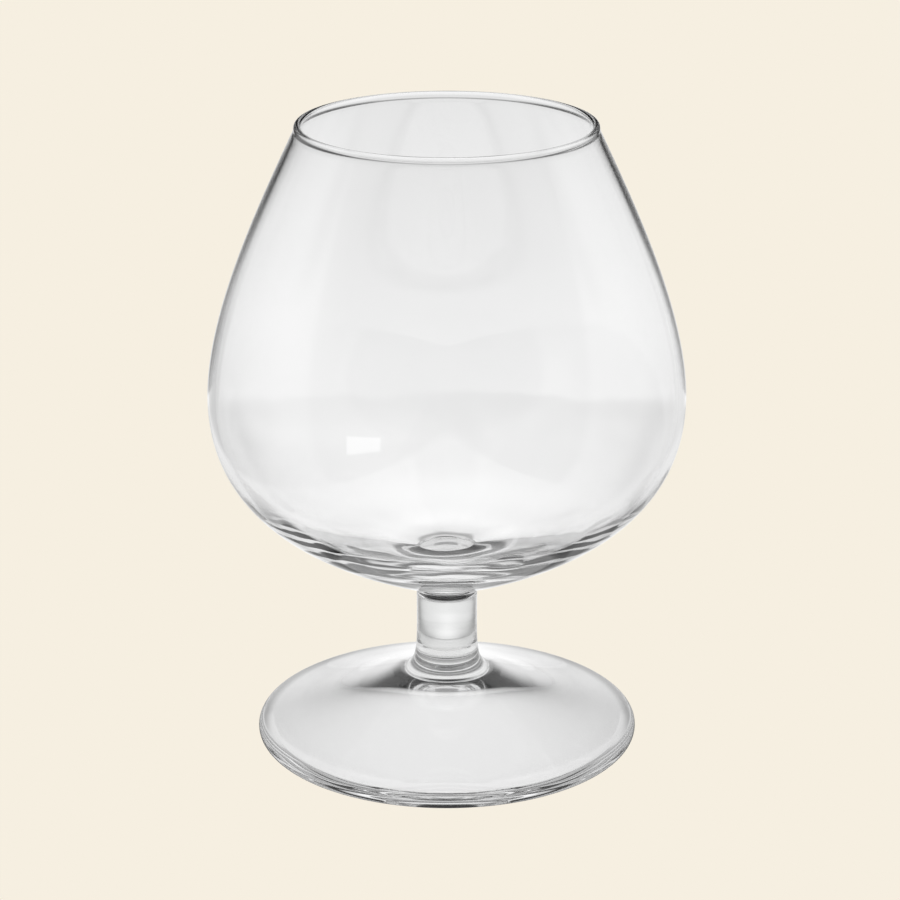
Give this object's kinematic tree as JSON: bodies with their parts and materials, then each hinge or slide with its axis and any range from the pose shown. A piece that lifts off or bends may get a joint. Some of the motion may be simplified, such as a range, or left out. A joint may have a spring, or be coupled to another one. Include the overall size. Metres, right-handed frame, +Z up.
{
  "type": "brandy snifter",
  "caption": "Clear glass brandy snifter: wide bowl drawn in to a narrow rounded rim, short stem, round hollow-bottomed foot.",
  "frame": {"origin": "centre of the flat ring that the foot rests on", "axes": "+Z up along the glass's own axis, towards the rim; the glass is round, so X and Y are free"},
  "size_m": [0.094, 0.094, 0.1264],
  "materials": {
    "bowl_glass": "fire-polished clear soda-lime glass",
    "stem_glass": "clear pressed soda-lime glass",
    "foot_glass": "clear pressed soda-lime glass, faintly scratched"
  },
  "bodies": {
    "root": {"bowl": "bowl_glass", "stem": "stem_glass", "foot": "foot_glass"}
  },
  "joints": []
}
